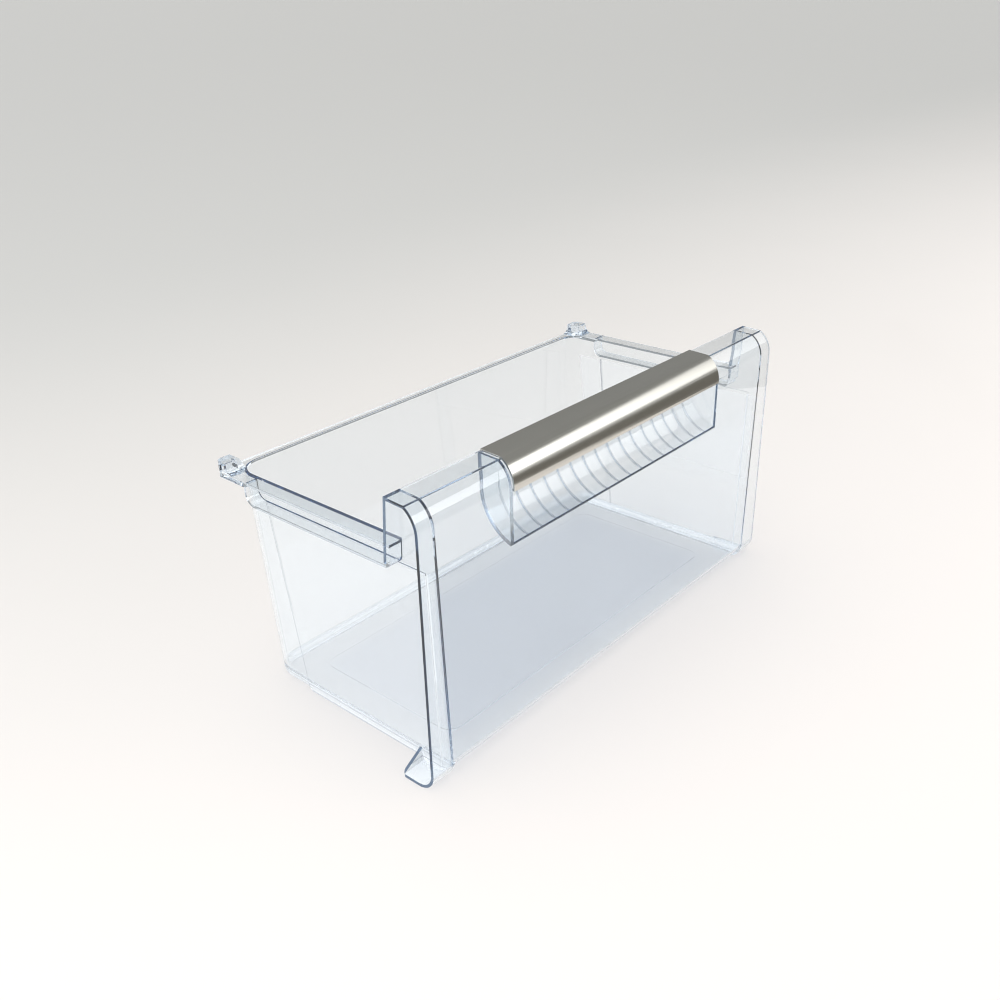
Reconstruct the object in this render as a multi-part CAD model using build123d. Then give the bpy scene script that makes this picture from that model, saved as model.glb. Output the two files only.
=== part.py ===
from build123d import *
import math
import os

os.makedirs("parts", exist_ok=True)

# Freezer drawer, millimetres. X across the front, Y from front to back, Z up.
# Origin: middle of the overall width and depth, on the plane of the feet.

# Overall sizes, trim included
WIDTH = 440.0
DEPTH = 214.0
HEIGHT = 221.0

# Moulding: walls, drafts and the main steps
WALL = 2.2
SIDE_DRAFT = 1.7
BACK_DRAFT = 3.1
RIM_HEIGHT = 183.7
FOOT_DROP = 6.0
SIDE_INSET = 14.0
BACK_FLANGE = 4.3
BACK_CORNER_R = 22.0
BOTTOM_R = 5.0
INSIDE_R = 8.0
FRONT_BOTTOM_R = 11.0

# Rolled top of the front panel
TOP_FLAT = 17.8
TOP_FALL = 0.9
NOSE_R = 22.0
NOSE_SWEEP = 59.0
CREASE_R = 3.0

# Grip pocket, its ribs and the metal trim over the grip bar
GRIP_LENGTH = 262.4
BAR_HEIGHT = 20.6
GRIP_OPENING = 40.4
SCOOP_SLOPE = 15.0
RIB_COUNT = 16
RIB_PITCH = 15.4
RIB_WIDTH = 1.0
RIB_RISE = 0.7
TRIM_T = 1.2
TRIM_END_CLEARANCE = 0.4

# Runner channel on each side, open outwards
RUNNER_STEP = 3.5
RUNNER_HEIGHT = 18.0
RUNNER_END_GAP = 32.0
RUNNER_END_R = 9.0
RUNNER_FRONT_R = 6.0
BAND_LEAN = 4.8

# Stop posts on the rear corners of the rim
POST_HEIGHT = 8.5
POST_LENGTH = 12.5
POST_LEAN = 2.5
POST_FOOT_R = 6.0
POST_BASE = 4.2
FLANGE_CORNER_R = 5.0

# Feet under the outboard ends of the front panel
FOOT_LENGTH = 31.5
FOOT_R = 15.0
FOOT_CORNER_R = 4.0
FOOT_WEB_HEIGHT = 13.7

# Flat side face left by the side slide of the mould, and the raised floor panel
SLIDE_STEP = 0.6
SLIDE_BACK_GAP = 46.0
SLIDE_LEAN = 6.7
SLIDE_R = 5.0
FLOOR_BORDER = 30.0
FLOOR_STEP = 0.6
FLOOR_CORNER_R = 10.0

# Working numbers that follow from the sizes above
SIDE_TAN = math.tan(math.radians(SIDE_DRAFT))
BACK_TAN = math.tan(math.radians(BACK_DRAFT))
BAND_TAN = math.tan(math.radians(BAND_LEAN))
SLIDE_TAN = math.tan(math.radians(SLIDE_LEAN))
Y_FACE = -DEPTH / 2 + TRIM_T
Y_BACK = DEPTH / 2
Z_TOP = HEIGHT - TRIM_T
Z_FLOOR = FOOT_DROP
Z_RUNNER = RIM_HEIGHT - RUNNER_HEIGHT
X_PANEL = WIDTH / 2
X_RUNNER = X_PANEL - RUNNER_STEP
FAR = WIDTH


def wall_x(z):
    """Outer face of a side wall at height z."""
    return X_PANEL - SIDE_INSET - (RIM_HEIGHT - z) * SIDE_TAN


def wall_y(z):
    """Outer face of the back wall at height z."""
    return Y_BACK - BACK_FLANGE - (RIM_HEIGHT - z) * BACK_TAN


# Rolled top: an arc tangent to the upright face, a tight bend and a nearly flat top
ANGLE_FACE = 180.0
Z_CREASE = Z_TOP - TOP_FALL
NOSE_Y = Y_FACE + NOSE_R
NOSE_Z = Z_CREASE - NOSE_R * math.sin(math.radians(ANGLE_FACE - NOSE_SWEEP))
Y_CREASE = NOSE_Y + NOSE_R * math.cos(math.radians(ANGLE_FACE - NOSE_SWEEP))
Y_TOP_BACK = Y_CREASE + TOP_FLAT
TOP_ANGLE = math.atan2(TOP_FALL, TOP_FLAT)


def on_nose(radius, angle):
    """Point on a circle about the nose centre, as (y, z)."""
    a = math.radians(angle)
    return (NOSE_Y + radius * math.cos(a), NOSE_Z + radius * math.sin(a))


def top_z(y, inset=0.0):
    """Height of the flat top at y, lowered by a distance square to it."""
    return Z_CREASE + (y - Y_CREASE) * math.tan(TOP_ANGLE) - inset / math.cos(TOP_ANGLE)


def crease(inset):
    """Angle on the nose circle where the top meets it, both moved inwards."""
    rise = (top_z(NOSE_Y, inset) - NOSE_Z) * math.cos(TOP_ANGLE)
    return 90.0 + math.degrees(TOP_ANGLE + math.acos(rise / (NOSE_R - inset)))


# The tight bend runs about one centre, from the nose to the flat top
ANGLE_BEND = crease(CREASE_R)
ANGLE_TOP = 90.0 + math.degrees(TOP_ANGLE)
BEND_Y, BEND_Z = on_nose(NOSE_R - CREASE_R, ANGLE_BEND)


def on_bend(radius, angle):
    """Point on a circle about the centre of the tight bend, as (y, z)."""
    a = math.radians(angle)
    return (BEND_Y + radius * math.cos(a), BEND_Z + radius * math.sin(a))


def band_y(z):
    """Back face of the band wall behind the front panel's ends."""
    return Y_TOP_BACK + (Z_TOP - z) * BAND_TAN


# Drawing helpers: outlines are (y, z) points in the side view, swept along X
def path(points):
    """Straight edges through points."""
    spots = [Vector(0, y, z) for y, z in points]
    return [Edge.make_line(a, b) for a, b in zip(spots, spots[1:])]


def arc(points):
    """Arc through three points."""
    return Edge.make_three_point_arc(*[Vector(0, y, z) for y, z in points])


def rounded(points, radii):
    """Straight edges through points with the inner corners rounded."""
    edges = []
    start = Vector(0, *points[0])
    for before, corner, after, r in zip(points, points[1:], points[2:], radii):
        here = Vector(0, *corner)
        back = (Vector(0, *before) - here).normalized()
        ahead = (Vector(0, *after) - here).normalized()
        half = math.acos(back.dot(ahead)) / 2
        reach = r / math.tan(half)
        middle = here + (back + ahead).normalized() * (r / math.sin(half) - r)
        edges.append(Edge.make_line(start, here + back * reach))
        edges.append(Edge.make_three_point_arc(here + back * reach, middle, here + ahead * reach))
        start = here + ahead * reach
    edges.append(Edge.make_line(start, Vector(0, *points[-1])))
    return edges


def prism(edges, x0, x1):
    """Closed outline swept from x0 to x1."""
    return Pos(x0, 0, 0) * extrude(make_face(edges), amount=x1 - x0, dir=(1, 0, 0))


def slab(points, y0, y1):
    """Closed run of (x, z) points swept from y0 to y1."""
    spots = [Vector(x, y0, z) for x, z in points]
    edges = [Edge.make_line(a, b) for a, b in zip(spots, spots[1:] + spots[:1])]
    return extrude(make_face(edges), amount=y1 - y0, dir=(0, 1, 0))


def box(x0, x1, y0, y1, z0, z1):
    """Box between two corners."""
    return Pos((x0 + x1) / 2, (y0 + y1) / 2, (z0 + z1) / 2) * Box(x1 - x0, y1 - y0, z1 - z0)


def front_edges(inset, z_low):
    """Front face, nose, tight bend and flat top, from height z_low up to the back of the top."""
    nose = [on_nose(NOSE_R - inset, a) for a in (ANGLE_FACE, (ANGLE_FACE + ANGLE_BEND) / 2, ANGLE_BEND)]
    bend = [on_bend(CREASE_R - inset, a) for a in (ANGLE_BEND, (ANGLE_BEND + ANGLE_TOP) / 2, ANGLE_TOP)]
    low = (Y_FACE + inset, z_low)
    back = (Y_TOP_BACK, top_z(Y_TOP_BACK, inset))
    edges = path([low, nose[0]]) + [arc(nose), arc(bend)] + path([bend[-1], back])
    return edges, low, back


def tub(inset, z0, corner_r, bottom_r):
    """Drafted block of the tub from z0 up, walls moved inwards, open-ended towards the front."""
    low = wall_x(z0) - inset
    high = wall_x(HEIGHT) - inset
    block = slab([(-low, z0), (low, z0), (high, HEIGHT), (-high, HEIGHT)], -DEPTH, DEPTH)
    side = [(-DEPTH, z0), (wall_y(z0) - inset, z0), (wall_y(HEIGHT) - inset, HEIGHT), (-DEPTH, HEIGHT)]
    block = block & prism(path(side + side[:1]), -FAR, FAR)
    uprights = block.edges().filter_by(lambda e: abs(e.tangent_at(0).Z) > 0.9)
    block = fillet(uprights.sort_by(Axis.Y)[-2:], corner_r)
    if bottom_r > 0:
        block = fillet(block.edges().group_by(Axis.Z)[0].sort_by(Axis.Y)[1:], bottom_r)
    return block


# Tub blank: drafted block trimmed to the side outline of panel, hood, rim and back
z_join = Z_FLOOR + 2 * FRONT_BOTTOM_R
edges, low, back = front_edges(0.0, z_join)
edges += rounded([low, (low[0], Z_FLOOR), (FAR, Z_FLOOR)], [FRONT_BOTTOM_R])
edges += path([back, (band_y(RIM_HEIGHT), RIM_HEIGHT), (FAR, RIM_HEIGHT), (FAR, Z_FLOOR)])
blank = tub(0.0, Z_FLOOR, BACK_CORNER_R, BOTTOM_R) & prism(edges, -FAR, FAR)

# Inside of the drawer, the space under the hood included
edges, low, back = front_edges(WALL, z_join)
edges += rounded([low, (low[0], Z_FLOOR + WALL), (FAR, Z_FLOOR + WALL)], [FRONT_BOTTOM_R - WALL])
edges += path([back, (FAR, back[1]), (FAR, Z_FLOOR + WALL)])
inside = tub(WALL, Z_FLOOR + WALL, BACK_CORNER_R - WALL, INSIDE_R) & prism(edges, -FAR, FAR)

# Flat side faces, a hair proud of the tub and square along the lower edge
y_slide = wall_y(Z_FLOOR) - SLIDE_BACK_GAP
y_slide_front = Y_FACE + FRONT_BOTTOM_R
slide_points = [
    (y_slide + (Z_RUNNER - Z_FLOOR) * SLIDE_TAN, Z_RUNNER),
    (y_slide, Z_FLOOR),
    (y_slide_front, Z_FLOOR),
]
edges = rounded(slide_points, [SLIDE_R])
edges += path([slide_points[-1], (y_slide_front, Z_RUNNER), slide_points[0]])
slide = prism(edges, -FAR, FAR) & tub(-SLIDE_STEP, Z_FLOOR, BACK_CORNER_R, 0)

# Outboard ends of the front panel and the band wall behind them
x_in = wall_x(Z_FLOOR) - 2 * WALL
outer, outer_low, outer_back = front_edges(0.0, z_join)
inner, inner_low, inner_back = front_edges(WALL, z_join)
panel_end = prism(
    outer + inner + path([outer_back, inner_back]) + path([outer_low, inner_low]), x_in, X_PANEL
)
band_points = [
    (band_y(Z_TOP), top_z(Y_TOP_BACK)),
    (band_y(Z_RUNNER + RUNNER_FRONT_R), Z_RUNNER + RUNNER_FRONT_R),
    (band_y(Z_RUNNER + RUNNER_FRONT_R) - WALL, Z_RUNNER + RUNNER_FRONT_R),
    (band_y(Z_TOP) - WALL, top_z(Y_TOP_BACK - WALL)),
]
band_wall = prism(path(band_points + band_points[:1]), x_in, X_PANEL)

# Runner channel: lower ledge, end wall and front wall round a hollow that is open outwards
y_end = Y_BACK - RUNNER_END_GAP


def channel(inset):
    """Outline of the runner channel, moved inwards."""
    points = [
        (band_y(RIM_HEIGHT - inset) - WALL + inset, RIM_HEIGHT - inset),
        (band_y(Z_RUNNER + inset) - WALL + inset, Z_RUNNER + inset),
        (y_end - inset, Z_RUNNER + inset),
        (y_end - inset, RIM_HEIGHT - inset),
    ]
    return rounded(points, [RUNNER_FRONT_R - inset, RUNNER_END_R - inset]) + path([points[-1], points[0]])


runner = prism(channel(0.0), x_in, X_RUNNER) - prism(channel(WALL), x_in - WALL, X_RUNNER + WALL)

# Rim flange along the sides and the back, thicker under the posts
flange_front = band_y(RIM_HEIGHT) - WALL
flange_plan = Pos(0, (flange_front + Y_BACK) / 2) * Rectangle(2 * X_RUNNER, Y_BACK - flange_front)
flange_plan = fillet(flange_plan.vertices().group_by(Axis.Y)[-1], FLANGE_CORNER_R)
flange = extrude(Pos(0, 0, RIM_HEIGHT - WALL) * flange_plan, amount=WALL)
column = extrude(Pos(0, 0, RIM_HEIGHT - POST_BASE) * flange_plan, amount=POST_BASE + POST_HEIGHT)
base = column & box(wall_x(Z_RUNNER), FAR, y_end - WALL, FAR, 0, RIM_HEIGHT)

# Stop posts: a flat cap, hollow foot radii towards the front and the middle, open outwards
z_post = RIM_HEIGHT + POST_HEIGHT
x_post = wall_x(RIM_HEIGHT) - WALL
y_post = Y_BACK - POST_LENGTH


def hill(top):
    """Rise from the rim to the cap, which starts at top, swept along X."""
    toe = top - POST_LEAN - 2 * POST_FOOT_R
    edges = rounded([(toe, RIM_HEIGHT), (top - POST_LEAN, RIM_HEIGHT), (top, z_post)], [POST_FOOT_R])
    edges += path([(top, z_post), (FAR, z_post), (FAR, RIM_HEIGHT - WALL)])
    edges += path([(FAR, RIM_HEIGHT - WALL), (toe, RIM_HEIGHT - WALL), (toe, RIM_HEIGHT)])
    return prism(edges, -FAR, FAR)


post = column & hill(y_post) & Rot(0, 0, -90) * hill(x_post)
hollow_points = [
    (y_post - POST_LEAN + 2 * WALL, RIM_HEIGHT),
    (y_post + WALL, z_post - WALL),
    (Y_BACK - FLANGE_CORNER_R, z_post - WALL),
    (Y_BACK - FLANGE_CORNER_R, RIM_HEIGHT),
]
post = post - prism(path(hollow_points + hollow_points[:1]), x_post + WALL, X_PANEL)

# Feet: the panel's end turns under into a plate, closed by a web at its back and a wall inside
x_foot = wall_x(Z_FLOOR) - WALL
y_foot = Y_FACE + FOOT_LENGTH
skin = rounded([(Y_FACE, z_join), (Y_FACE, 0.0), (y_foot, 0.0)], [FOOT_R])
lining = rounded([(Y_FACE + WALL, z_join), (Y_FACE + WALL, WALL), (y_foot, WALL)], [FOOT_R - WALL])
caps = path([(Y_FACE, z_join), (Y_FACE + WALL, z_join)]) + path([(y_foot, 0.0), (y_foot, WALL)])
foot_skin = prism(skin + lining + caps, x_foot, X_PANEL)
foot_wall = prism(skin + path([(y_foot, 0.0), (y_foot, z_join), (Y_FACE, z_join)]), x_foot, x_foot + WALL)
web_points = [
    (x_foot, 0.0),
    (X_PANEL, 0.0),
    (X_PANEL, WALL),
    (wall_x(FOOT_WEB_HEIGHT), FOOT_WEB_HEIGHT),
    (x_foot, FOOT_WEB_HEIGHT),
]
foot_web = slab(web_points, y_foot - WALL, y_foot)
foot_plan = Pos((x_foot + X_PANEL) / 2, (Y_FACE + y_foot) / 2) * Rectangle(X_PANEL - x_foot, FOOT_LENGTH)
foot_plan = fillet(foot_plan.vertices().group_by(Axis.Y)[-1].sort_by(Axis.X)[-1:], FOOT_CORNER_R)
foot = (foot_skin + foot_wall + foot_web) & extrude(foot_plan, amount=z_join)

outboard = panel_end + band_wall + runner + base + post + foot
solid = blank + slide + flange + outboard - inside

# Raised panel in the middle of the floor
floor_front = Y_FACE + FLOOR_BORDER
floor_back = wall_y(Z_FLOOR) - FLOOR_BORDER
floor_plan = Rectangle(2 * (wall_x(Z_FLOOR) - FLOOR_BORDER), floor_back - floor_front)
floor_plan = fillet(floor_plan.vertices(), FLOOR_CORNER_R)
floor_plan = Pos(0, (floor_front + floor_back) / 2, Z_FLOOR + WALL / 2) * floor_plan
solid = solid + extrude(floor_plan, amount=WALL / 2 + FLOOR_STEP)

# Grip pocket behind the bar: a scoop that rises from the lip to the back of the flat top
x_grip = GRIP_LENGTH / 2
z_bar = Z_TOP - BAR_HEIGHT
z_lip = z_bar - GRIP_OPENING
slope = math.radians(SCOOP_SLOPE)
scoop_r = (Y_TOP_BACK - WALL - Y_FACE) / (1.0 - math.sin(slope))
scoop_y = Y_TOP_BACK - WALL - scoop_r
scoop_z = z_lip + scoop_r * math.cos(slope)


def on_scoop(radius, share):
    """Point on a circle about the scoop centre, share 0 at the lip and 1 at the upright back."""
    a = slope + (math.pi / 2 - slope) * share
    return (scoop_y + radius * math.sin(a), scoop_z - radius * math.cos(a))


def scoop_arc(radius):
    """Arc of the scoop from the lip to the upright back."""
    return arc([on_scoop(radius, share) for share in (0.0, 0.5, 1.0)])


def scoop_edges(radius, y_front, z_high):
    """Closed outline of the space in front of the scoop, up to a level."""
    start = on_scoop(radius, 0.0)
    end = on_scoop(radius, 1.0)
    run = [end, (end[0], z_high), (y_front, z_high), (y_front, start[1]), start]
    return [scoop_arc(radius)] + path(run)


edges, low, back = front_edges(WALL, z_lip - 4 * WALL)
edges += path([back, (Y_TOP_BACK, low[1]), low])
hood = prism(edges, -FAR, FAR)
y_out = Y_FACE - WALL
scoop = prism(scoop_edges(scoop_r + WALL, y_out, Z_TOP), -x_grip - WALL, x_grip + WALL) & hood
pocket = prism(scoop_edges(scoop_r, y_out, Z_TOP), -x_grip, x_grip)
window = pocket & box(-x_grip, x_grip, y_out, Y_FACE + 2 * WALL, z_lip, z_bar)
solid = solid + scoop - (pocket & hood) - window

rib = prism(
    [scoop_arc(scoop_r + WALL / 2), scoop_arc(scoop_r - RIB_RISE)]
    + path([on_scoop(scoop_r + WALL / 2, 0.0), on_scoop(scoop_r - RIB_RISE, 0.0)])
    + path([on_scoop(scoop_r + WALL / 2, 1.0), on_scoop(scoop_r - RIB_RISE, 1.0)]),
    -RIB_WIDTH / 2,
    RIB_WIDTH / 2,
)
rib = rib & box(-FAR, FAR, Y_FACE, FAR, 0, FAR)
for index in range(RIB_COUNT):
    solid = solid + Pos((index - (RIB_COUNT - 1) / 2) * RIB_PITCH, 0, 0) * rib

# Both sides are the same: the right half, mirrored
half = solid & box(0, FAR, -FAR, FAR, -FAR, FAR)
drawer_body = (half + mirror(half, about=Plane.YZ)).clean()

# Trim: a strip over the bar, turned under its lower edge
x_trim = x_grip - TRIM_END_CLEARANCE
outer, outer_low, outer_back = front_edges(-TRIM_T, z_bar - TRIM_T)
inner, inner_low, inner_back = front_edges(0.0, z_bar)
turn = path([
    outer_low,
    (Y_FACE + WALL, z_bar - TRIM_T),
    (Y_FACE + WALL, z_bar),
    inner_low,
])
handle_trim = prism(outer + inner + turn + path([outer_back, inner_back]), -x_trim, x_trim)

export_step(drawer_body, "parts/drawer_body.step")
export_step(handle_trim, "parts/handle_trim.step")
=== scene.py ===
import math

import bpy
from mathutils import Matrix, Vector


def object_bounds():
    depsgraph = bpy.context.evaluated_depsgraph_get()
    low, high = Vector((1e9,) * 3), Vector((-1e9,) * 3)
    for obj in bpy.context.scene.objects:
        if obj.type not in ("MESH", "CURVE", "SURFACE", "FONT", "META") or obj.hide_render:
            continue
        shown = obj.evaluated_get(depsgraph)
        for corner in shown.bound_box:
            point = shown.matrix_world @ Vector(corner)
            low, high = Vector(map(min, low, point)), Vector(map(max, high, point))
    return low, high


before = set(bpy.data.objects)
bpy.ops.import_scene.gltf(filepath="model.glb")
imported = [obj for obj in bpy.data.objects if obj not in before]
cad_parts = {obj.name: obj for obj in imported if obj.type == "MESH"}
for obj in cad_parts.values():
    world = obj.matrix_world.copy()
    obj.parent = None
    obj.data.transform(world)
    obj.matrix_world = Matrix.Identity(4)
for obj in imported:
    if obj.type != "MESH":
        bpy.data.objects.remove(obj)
cad_low, cad_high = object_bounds()

scene = bpy.context.scene
scene.view_settings.view_transform = "Standard"

# Light runs a long way inside the clear walls, and that darkens the edges it comes out of
LIGHT_BOUNCES = 96
scene.cycles.max_bounces = LIGHT_BOUNCES
scene.cycles.transmission_bounces = LIGHT_BOUNCES
scene.cycles.glossy_bounces = LIGHT_BOUNCES
scene.cycles.transparent_max_bounces = 32
scene.cycles.diffuse_bounces = 3
scene.cycles.sample_clamp_indirect = 6.0
scene.cycles.caustics_reflective = False
scene.cycles.caustics_refractive = True
scene.cycles.filter_width = 1.1

# Places on the drawer that the looks refer to, in metres
TRIM_THICKNESS = 0.0012
FRONT_FACE_Y = cad_low.y + TRIM_THICKNESS
PANEL_END_X = cad_high.x
FLOOR_UNDERSIDE_Z = 0.006
FLOOR_HALF_X = 0.2013
FLOOR_BACK_Y = 0.0881
FOOT_BACK_Y = FRONT_FACE_Y + 0.0315
MATT_HALF_X = 0.1707
MATT_FRONT_Y = FRONT_FACE_Y + 0.030
MATT_BACK_Y = 0.0631
MATT_TOP_Z = 0.0088
GRIP_HALF_X = 0.1312
GRIP_BACK_Y = -0.0785
GRIP_LOW_Z = 0.1575
GRIP_HIGH_Z = 0.2000
FILLET_R = 0.006
FILLET_TOP_Z = 0.011
WEB_LOW_Z = 0.0022
WEB_HIGH_Z = 0.0137
WEB_NORMAL_X = 0.518
WEB_NORMAL_Z = 0.856
RIB_PITCH = 0.0154
RIB_REACH_X = 0.119
SLIDE_TAN = math.tan(math.radians(6.7))
SLIDE_BACK_Y = 0.0471
SLIDE_FRONT_Y = FRONT_FACE_Y + 0.011
SIDE_LOW_X = 0.2003
SIDE_HIGH_Z = 0.1645
SIDE_FRONT_Y = FRONT_FACE_Y + 0.004
POST_LOW_X = 0.2035
POST_FRONT_Y = 0.085
POST_LOW_Z = 0.1850

# Widths over which the masks on the drawer turn on, in metres
HAIR = 0.0002
SOFT = 0.0006
FADE = 0.008

# Clear plastic
PLASTIC_IOR = 1.57
CLEAR_TINT = (0.96, 0.985, 1.0)
# Painted shade: dark blue-black on the panel ends and the feet's sloping edges, where light guided inside
# the clear walls leaves them dark
CUT_EDGE_PAINTED_SHADE = (0.07, 0.115, 0.19)
SHADE_CLEAR = (0.95, 0.955, 0.965)
SHADE_MATT = (0.87, 0.885, 0.92)
DEPTH_COLOUR = (0.22, 0.41, 0.60, 1.0)
DEPTH_DENSITY = 20.0
# Shares of that painted edge shade on the grip ribs and on the side seam
RIB_PAINTED_SHADE = 0.55
SEAM_PAINTED_SHADE = 0.6
VEIL = 0.05
SIDE_VEIL = 0.22
FILLET_MILK = 0.6
STEP_MILK = 0.8


def new_material(name):
    """Empty node material with its output node."""
    material = bpy.data.materials.new(name)
    material.use_nodes = True
    tree = material.node_tree
    tree.nodes.clear()
    return material, tree, tree.nodes.new("ShaderNodeOutputMaterial")


def math_node(tree, operation, *values):
    """Math node with numbers or sockets as its inputs."""
    node = tree.nodes.new("ShaderNodeMath")
    node.operation = operation
    for socket, value in zip(node.inputs, values):
        if isinstance(value, (int, float)):
            socket.default_value = value
        else:
            tree.links.new(value, socket)
    return node.outputs[0]


def product(tree, *sockets):
    """Product of several sockets."""
    result = sockets[0]
    for socket in sockets[1:]:
        result = math_node(tree, "MULTIPLY", result, socket)
    return result


def ramp(tree, value, low, high, out_low=0.0, out_high=1.0):
    """Smooth step of a socket from low to high."""
    node = tree.nodes.new("ShaderNodeMapRange")
    node.interpolation_type = "SMOOTHSTEP"
    node.inputs["From Min"].default_value = low
    node.inputs["From Max"].default_value = high
    node.inputs["To Min"].default_value = out_low
    node.inputs["To Max"].default_value = out_high
    tree.links.new(value, node.inputs["Value"])
    return node.outputs["Result"]


def noise(tree, vector, scale, detail=3.0, roughness=0.5):
    """Noise value over a vector socket."""
    node = tree.nodes.new("ShaderNodeTexNoise")
    node.inputs["Scale"].default_value = scale
    node.inputs["Detail"].default_value = detail
    node.inputs["Roughness"].default_value = roughness
    tree.links.new(vector, node.inputs["Vector"])
    return node.outputs["Fac"]


def stretched(tree, vector, scale):
    """Vector socket scaled along its axes."""
    node = tree.nodes.new("ShaderNodeVectorMath")
    node.operation = "MULTIPLY"
    node.inputs[1].default_value = scale
    tree.links.new(vector, node.inputs[0])
    return node.outputs[0]


def bump(tree, height, distance, strength=1.0):
    """Bump normal from a height socket."""
    node = tree.nodes.new("ShaderNodeBump")
    node.inputs["Distance"].default_value = distance
    node.inputs["Strength"].default_value = strength
    tree.links.new(height, node.inputs["Height"])
    return node.outputs["Normal"]


def mixed_colour(tree, share, first, second):
    """Colour between two colours by a socket."""
    node = tree.nodes.new("ShaderNodeMix")
    node.data_type = "RGBA"
    if isinstance(first, tuple):
        node.inputs["A"].default_value = (*first, 1.0)
    else:
        tree.links.new(first, node.inputs["A"])
    node.inputs["B"].default_value = (*second, 1.0)
    tree.links.new(share, node.inputs["Factor"])
    return node.outputs["Result"]


def coordinates(tree):
    """Object coordinates as a vector and as its three parts."""
    place = tree.nodes.new("ShaderNodeTexCoord").outputs["Object"]
    axes = tree.nodes.new("ShaderNodeSeparateXYZ")
    tree.links.new(place, axes.inputs[0])
    return place, axes.outputs[0], axes.outputs[1], axes.outputs[2]


def clear_plastic():
    """Clear, faintly blue moulded plastic: matt floor panel and underside, with painted shade on the cut
    edges.
    """
    material, tree, out = new_material("clear_plastic")
    links = tree.links
    place, x, y, z = coordinates(tree)
    aside = math_node(tree, "ABSOLUTE", x)

    # Masks: matt floor panel, underside, grip pocket, panel ends, stop posts and lower fillets
    matt = product(
        tree,
        ramp(tree, aside, MATT_HALF_X + FADE, MATT_HALF_X - FADE),
        ramp(tree, y, MATT_FRONT_Y - FADE, MATT_FRONT_Y + FADE),
        ramp(tree, y, MATT_BACK_Y + FADE, MATT_BACK_Y - FADE),
        ramp(tree, z, MATT_TOP_Z + 2 * HAIR, MATT_TOP_Z + HAIR),
    )
    under = product(
        tree,
        ramp(tree, aside, FLOOR_HALF_X + SOFT, FLOOR_HALF_X),
        ramp(tree, z, FLOOR_UNDERSIDE_Z + 0.0005, FLOOR_UNDERSIDE_Z + 0.0002),
    )
    grip = product(
        tree,
        ramp(tree, aside, GRIP_HALF_X, GRIP_HALF_X - SOFT),
        ramp(tree, y, GRIP_BACK_Y, GRIP_BACK_Y - SOFT),
        ramp(tree, z, GRIP_LOW_Z, GRIP_LOW_Z + SOFT),
        ramp(tree, z, GRIP_HIGH_Z, GRIP_HIGH_Z - SOFT),
    )
    cut = ramp(tree, aside, PANEL_END_X - 2 * HAIR, PANEL_END_X - HAIR)
    post = product(
        tree,
        ramp(tree, aside, POST_LOW_X, POST_LOW_X + SOFT),
        ramp(tree, y, POST_FRONT_Y, POST_FRONT_Y + SOFT),
        ramp(tree, z, POST_LOW_Z, POST_LOW_Z + SOFT),
    )
    outer = math_node(
        tree, "MAXIMUM",
        ramp(tree, aside, FLOOR_HALF_X - FILLET_R, FLOOR_HALF_X - FILLET_R + SOFT),
        ramp(tree, y, FLOOR_BACK_Y, FLOOR_BACK_Y + SOFT),
    )
    fillet = product(tree, outer, ramp(tree, z, FILLET_TOP_Z + 0.003, FILLET_TOP_Z))

    # Painted shade on edges that look dark in clear plastic: panel ends, sloping edge of the feet, ribs
    # in the grip, seam of the side face
    lift = math_node(
        tree, "ADD",
        math_node(tree, "MULTIPLY", math_node(tree, "SUBTRACT", aside, PANEL_END_X), WEB_NORMAL_X),
        math_node(tree, "MULTIPLY", math_node(tree, "SUBTRACT", z, WEB_LOW_Z), WEB_NORMAL_Z),
    )
    slope = product(
        tree,
        ramp(tree, lift, -2 * HAIR, -HAIR),
        ramp(tree, aside, FLOOR_HALF_X - 0.001, FLOOR_HALF_X),
        ramp(tree, y, FOOT_BACK_Y - 0.0026, FOOT_BACK_Y - 0.0024),
        ramp(tree, y, FOOT_BACK_Y + 2 * HAIR, FOOT_BACK_Y + HAIR),
        ramp(tree, z, WEB_HIGH_Z + 3 * HAIR, WEB_HIGH_Z + 2 * HAIR),
    )
    side = product(
        tree,
        ramp(tree, aside, SIDE_LOW_X, SIDE_LOW_X + SOFT),
        ramp(tree, z, SIDE_HIGH_Z, SIDE_HIGH_Z - SOFT),
        ramp(tree, y, SIDE_FRONT_Y, SIDE_FRONT_Y + SOFT),
    )
    lean = math_node(tree, "MULTIPLY", math_node(tree, "SUBTRACT", z, FLOOR_UNDERSIDE_Z), SLIDE_TAN)
    behind = math_node(tree, "SUBTRACT", math_node(tree, "SUBTRACT", y, SLIDE_BACK_Y), lean)
    back_seam = ramp(tree, math_node(tree, "ABSOLUTE", behind), 0.0007, 0.0004)
    low_seam = product(
        tree,
        ramp(tree, z, FLOOR_UNDERSIDE_Z + 0.0011, FLOOR_UNDERSIDE_Z + 0.0008),
        ramp(tree, z, FLOOR_UNDERSIDE_Z + 0.0001, FLOOR_UNDERSIDE_Z + 0.0002),
        ramp(tree, behind, 2 * HAIR, HAIR),
    )
    seam = product(tree, side, math_node(tree, "MAXIMUM", back_seam, low_seam))
    before = math_node(tree, "ABSOLUTE", math_node(tree, "SUBTRACT", y, SLIDE_FRONT_Y))
    front_step = product(tree, side, ramp(tree, before, 3 * HAIR, 2 * HAIR))
    turn = math_node(tree, "FRACT", math_node(tree, "DIVIDE", aside, RIB_PITCH))
    offset = math_node(tree, "ABSOLUTE", math_node(tree, "SUBTRACT", turn, 0.5))
    rib = product(
        tree,
        grip,
        ramp(tree, offset, 0.036, 0.022),
        ramp(tree, aside, RIB_REACH_X, RIB_REACH_X - SOFT),
    )
    painted_edge_shade = math_node(tree, "MAXIMUM", cut, slope)
    for mask, share in ((rib, RIB_PAINTED_SHADE), (seam, SEAM_PAINTED_SHADE)):
        painted_edge_shade = math_node(tree, "MAXIMUM", painted_edge_shade, math_node(tree, "MULTIPLY", mask, share))

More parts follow.
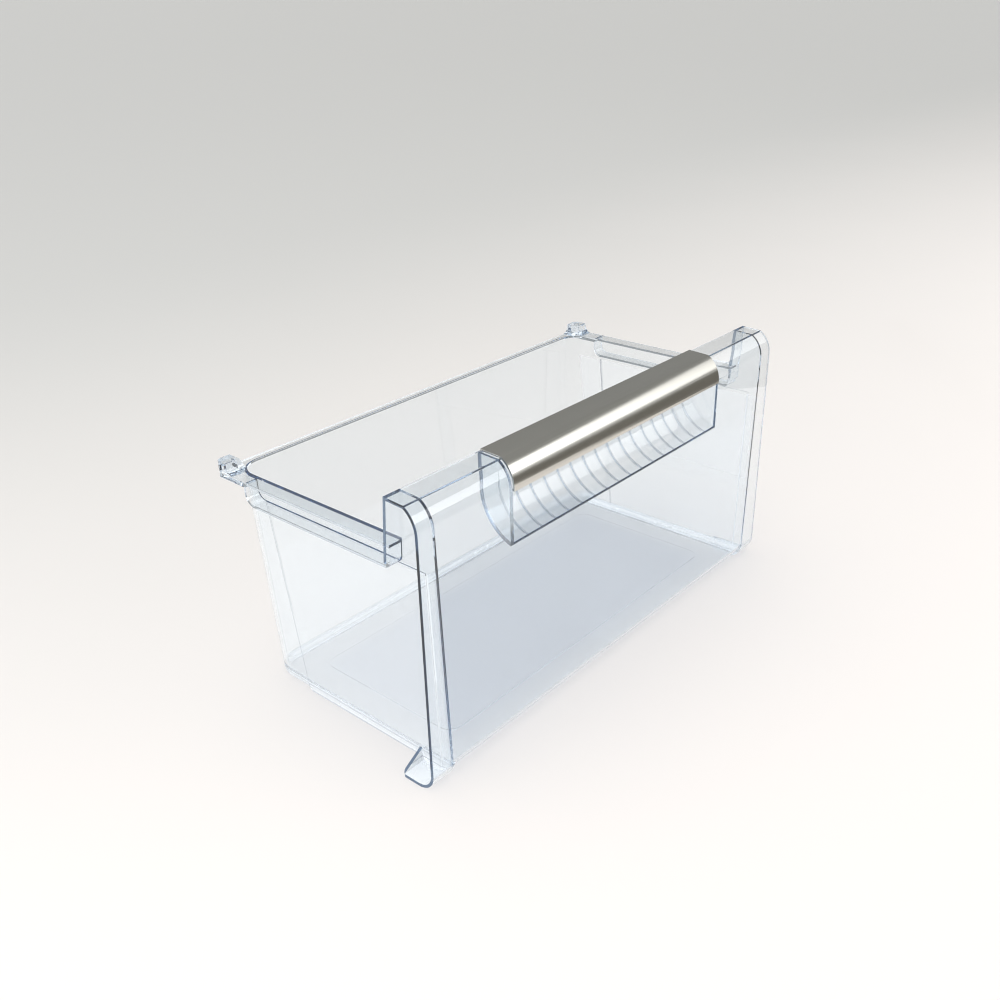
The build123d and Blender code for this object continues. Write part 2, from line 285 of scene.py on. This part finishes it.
    cloud = noise(tree, place, 22.0, 4.0)
    rough = ramp(tree, cloud, 0.3, 0.7, 0.012, 0.035)
    for mask, share in ((matt, 0.22), (under, 0.30), (grip, 0.05), (post, 0.05), (fillet, 0.25)):
        rough = math_node(tree, "ADD", rough, math_node(tree, "MULTIPLY", mask, share))
    flow = noise(tree, stretched(tree, place, (6.0, 6.0, 9.0)), 1.0, 2.0)
    grain = noise(tree, place, 900.0, 2.0)
    grainy = math_node(tree, "MULTIPLY", math_node(tree, "MULTIPLY", grain, matt), 0.12)

    shader = tree.nodes.new("ShaderNodeBsdfPrincipled")
    # Base colour: clear tint with the painted edge shade mixed in
    tint_with_painted_edge_shade = mixed_colour(tree, painted_edge_shade, CLEAR_TINT, CUT_EDGE_PAINTED_SHADE)
    links.new(tint_with_painted_edge_shade, shader.inputs["Base Color"])
    shader.inputs["IOR"].default_value = PLASTIC_IOR

    # A faint milky veil on outer faces, stronger on the side walls and the lower fillets
    inside = tree.nodes.new("ShaderNodeNewGeometry").outputs["Backfacing"]
    veil = math_node(tree, "ADD", math_node(tree, "MULTIPLY", side, SIDE_VEIL), VEIL)
    veil = math_node(tree, "MULTIPLY", veil, math_node(tree, "SUBTRACT", 1.0, inside))
    milk = math_node(tree, "MAXIMUM", veil, math_node(tree, "MULTIPLY", fillet, FILLET_MILK))
    milk = math_node(tree, "MAXIMUM", milk, math_node(tree, "MULTIPLY", front_step, STEP_MILK))
    hazy = math_node(tree, "SUBTRACT", 1.0, milk)
    links.new(hazy, shader.inputs["Transmission Weight"])
    links.new(rough, shader.inputs["Roughness"])
    links.new(bump(tree, math_node(tree, "ADD", flow, grainy), 0.0004, 0.5), shader.inputs["Normal"])

    # Light reaches what lies under and behind the clear walls
    through = tree.nodes.new("ShaderNodeBsdfTransparent")
    links.new(mixed_colour(tree, matt, SHADE_CLEAR, SHADE_MATT), through.inputs["Color"])
    rays = tree.nodes.new("ShaderNodeLightPath")
    share = math_node(tree, "MAXIMUM", rays.outputs["Is Shadow Ray"], rays.outputs["Is Diffuse Ray"])
    mix = tree.nodes.new("ShaderNodeMixShader")
    links.new(share, mix.inputs[0])
    links.new(shader.outputs[0], mix.inputs[1])
    links.new(through.outputs[0], mix.inputs[2])
    links.new(mix.outputs[0], out.inputs["Surface"])

    depth = tree.nodes.new("ShaderNodeVolumeAbsorption")
    depth.inputs["Color"].default_value = DEPTH_COLOUR
    depth.inputs["Density"].default_value = DEPTH_DENSITY
    links.new(depth.outputs[0], out.inputs["Volume"])
    return material


def trim_metal():
    """Bright satin metal, finely brushed along its length."""
    material, tree, out = new_material("trim_metal")
    links = tree.links
    place = tree.nodes.new("ShaderNodeTexCoord").outputs["Object"]
    streak = noise(tree, stretched(tree, place, (5.0, 1400.0, 1400.0)), 1.0, 4.0, 0.6)
    cloud = noise(tree, place, 30.0, 3.0)
    shader = tree.nodes.new("ShaderNodeBsdfPrincipled")
    shader.inputs["Metallic"].default_value = 1.0
    colour = mixed_colour(tree, streak, (0.60, 0.585, 0.54), (0.68, 0.665, 0.62))
    links.new(colour, shader.inputs["Base Color"])
    brushed = ramp(tree, streak, 0.3, 0.7, 0.13, 0.20)
    rough = math_node(tree, "ADD", brushed, math_node(tree, "MULTIPLY", cloud, 0.04))
    links.new(rough, shader.inputs["Roughness"])
    links.new(bump(tree, streak, 0.00004, 0.35), shader.inputs["Normal"])
    links.new(shader.outputs[0], out.inputs["Surface"])
    return material


def pale_floor():
    """Matt pale table top, with painted shade that darkens it towards the back and far off in front and
    on the left.
    """
    material, tree, out = new_material("pale_floor")
    links = tree.links
    place, x, y, _ = coordinates(tree)
    # Painted shade: darker towards the back, with a patchy edge
    patches = math_node(tree, "MULTIPLY", noise(tree, place, 3.0, 4.0), 0.1)
    share = ramp(tree, math_node(tree, "ADD", y, patches), -0.36, 1.42)
    shader = tree.nodes.new("ShaderNodeBsdfPrincipled")
    colour = mixed_colour(tree, share, (0.915, 0.87, 0.845), (0.665, 0.66, 0.645))
    # Painted shade far off in front and on the left
    far_painted_shade = math_node(tree, "MAXIMUM", ramp(tree, y, -0.6, -1.6), ramp(tree, x, -0.7, -1.5))
    links.new(mixed_colour(tree, far_painted_shade, colour, (0.52, 0.515, 0.505)), shader.inputs["Base Color"])
    shader.inputs["Roughness"].default_value = 0.6
    shader.inputs["Specular IOR Level"].default_value = 0.3
    links.new(shader.outputs[0], out.inputs["Surface"])
    return material


def dark_card():
    """Dull dark card."""
    material, tree, out = new_material("dark_card")
    shader = tree.nodes.new("ShaderNodeBsdfDiffuse")
    shader.inputs["Color"].default_value = (0.17, 0.165, 0.15, 1.0)
    tree.links.new(shader.outputs[0], out.inputs["Surface"])
    return material


def sheet(name, half, low, high, material):
    """Upright or flat four-cornered sheet for the stage."""
    mesh = bpy.data.meshes.new(name)
    mesh.from_pydata([(-half, *low), (half, *low), (half, *high), (-half, *high)], [], [(0, 1, 2, 3)])
    mesh.materials.append(material)
    thing = bpy.data.objects.new(name, mesh)
    scene.collection.objects.link(thing)
    return thing


for node, material in (("drawer_body", clear_plastic()), ("handle_trim", trim_metal())):
    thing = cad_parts[node]
    thing.data.materials.clear()
    thing.data.materials.append(material)

# The drawer stands on its front feet and the back edge of its floor, so the table is a little aslant here
TABLE_TILT = math.atan2(FLOOR_UNDERSIDE_Z, FLOOR_BACK_Y - FOOT_BACK_Y)
TABLE_HALF = 80.0
table = sheet("table_top", TABLE_HALF, (-TABLE_HALF, 0.0), (TABLE_HALF, 0.0), pale_floor())
table.location = (0.0, FOOT_BACK_Y, -0.0001)
table.rotation_euler = (TABLE_TILT, 0.0, 0.0)

# Camera at the photograph's angle, from edges measured in it
CAMERA_AZIMUTH = math.radians(-48.40)
CAMERA_ELEVATION = math.radians(26.33)
CAMERA_ROLL = math.radians(-1.48)
FOCAL_PIXELS = 1042.0
IMAGE_PIXELS = 1000.0
AIM_RIGHT, AIM_UP, AIM_BACK = -0.0989, 0.1206, 0.8608

back = Vector((
    math.sin(CAMERA_AZIMUTH) * math.cos(CAMERA_ELEVATION),
    -math.cos(CAMERA_AZIMUTH) * math.cos(CAMERA_ELEVATION),
    math.sin(CAMERA_ELEVATION),
))
level = Vector((math.cos(CAMERA_AZIMUTH), math.sin(CAMERA_AZIMUTH), 0.0))
steep = back.cross(level)
right = level * math.cos(CAMERA_ROLL) + steep * math.sin(CAMERA_ROLL)
up = steep * math.cos(CAMERA_ROLL) - level * math.sin(CAMERA_ROLL)
camera_data = bpy.data.cameras.new("camera")
camera_data.sensor_width = 36.0
camera_data.lens = FOCAL_PIXELS / IMAGE_PIXELS * camera_data.sensor_width
camera_data.clip_start = 0.01
camera = bpy.data.objects.new("camera", camera_data)
place = right * AIM_RIGHT + up * AIM_UP + back * AIM_BACK + Vector((0.0, FRONT_FACE_Y, FLOOR_UNDERSIDE_Z))
camera.matrix_world = Matrix.Translation(place) @ Matrix((right, up, back)).transposed().to_4x4()
scene.collection.objects.link(camera)
scene.camera = camera


def lamp(name, data, direction, where=(0.0, 0.0, 0.0)):
    """Lamp object at a place, shining along a direction."""
    thing = bpy.data.objects.new(name, data)
    thing.location = where
    thing.rotation_mode = "QUATERNION"
    thing.rotation_quaternion = Vector(direction).to_track_quat("-Z", "Y")
    scene.collection.objects.link(thing)


# Broad light in front on the right, which the nose and the trim mirror as a band that fades to one end
BRIGHT_END = 1.5
DIM_END = 0.35
broad = bpy.data.lights.new("front_right", "AREA")
broad.shape = "RECTANGLE"
broad.size, broad.size_y = 3.0, 0.95
broad.energy = 20.0
broad.use_nodes = True
glow_tree = broad.node_tree
along = glow_tree.nodes.new("ShaderNodeSeparateXYZ")
spot = glow_tree.nodes.new("ShaderNodeNewGeometry").outputs["Parametric"]
glow_tree.links.new(spot, along.inputs[0])
fall = ramp(glow_tree, along.outputs[0], 0.0, 1.0, BRIGHT_END, DIM_END)
glow_tree.links.new(fall, glow_tree.nodes["Emission"].inputs["Strength"])
lamp("front_right", broad, (-1.6, 1.55, -0.92), (1.6, -1.65, 1.12))

# Weak broad light on the left, which brightens the side wall
side_light = bpy.data.lights.new("left", "AREA")
side_light.shape = "RECTANGLE"
side_light.size, side_light.size_y = 1.8, 1.0
side_light.energy = 14.0
lamp("left", side_light, (1.0, -0.05, -0.32), (-1.75, 0.1, 0.65))

# Wide soft light from above, a little from behind
wide = bpy.data.lights.new("above", "SUN")
wide.energy = 1.85
wide.angle = math.radians(100.0)
lamp("above", wide, (0.25, -0.35, -1.0))

# Low dark card in front on the right, which only gloss and metal show
card = sheet("dark_card", 0.9, (0.0, 0.0), (0.0, 0.26), dark_card())
card.location = (0.40, -0.55, 0.0)
card.rotation_euler = (0.0, 0.0, math.radians(45.0))
card.visible_camera = False
card.visible_diffuse = False
card.visible_transmission = False
card.visible_shadow = False

# Room light: pale at the horizon, dimmer above it, brighter overhead
ROOM_BANDS = ((0.0, 0.72), (0.05, 0.72), (0.2, 0.30), (0.7, 0.32), (1.0, 0.6))
world = bpy.data.worlds.new("studio")
scene.world = world
world.use_nodes = True
tree = world.node_tree
tree.nodes.clear()
out = tree.nodes.new("ShaderNodeOutputWorld")
sky = tree.nodes.new("ShaderNodeBackground")
axes = tree.nodes.new("ShaderNodeSeparateXYZ")
tree.links.new(tree.nodes.new("ShaderNodeTexCoord").outputs["Generated"], axes.inputs[0])
bands = tree.nodes.new("ShaderNodeValToRGB")
while len(bands.color_ramp.elements) < len(ROOM_BANDS):
    bands.color_ramp.elements.new(0.5)
for stop, (height, grey) in zip(bands.color_ramp.elements, ROOM_BANDS):
    stop.position = height
    stop.color = (grey * 0.985, grey, grey * 0.985, 1.0)
tree.links.new(axes.outputs[2], bands.inputs[0])
tree.links.new(bands.outputs[0], sky.inputs["Color"])
tree.links.new(sky.outputs[0], out.inputs["Surface"])
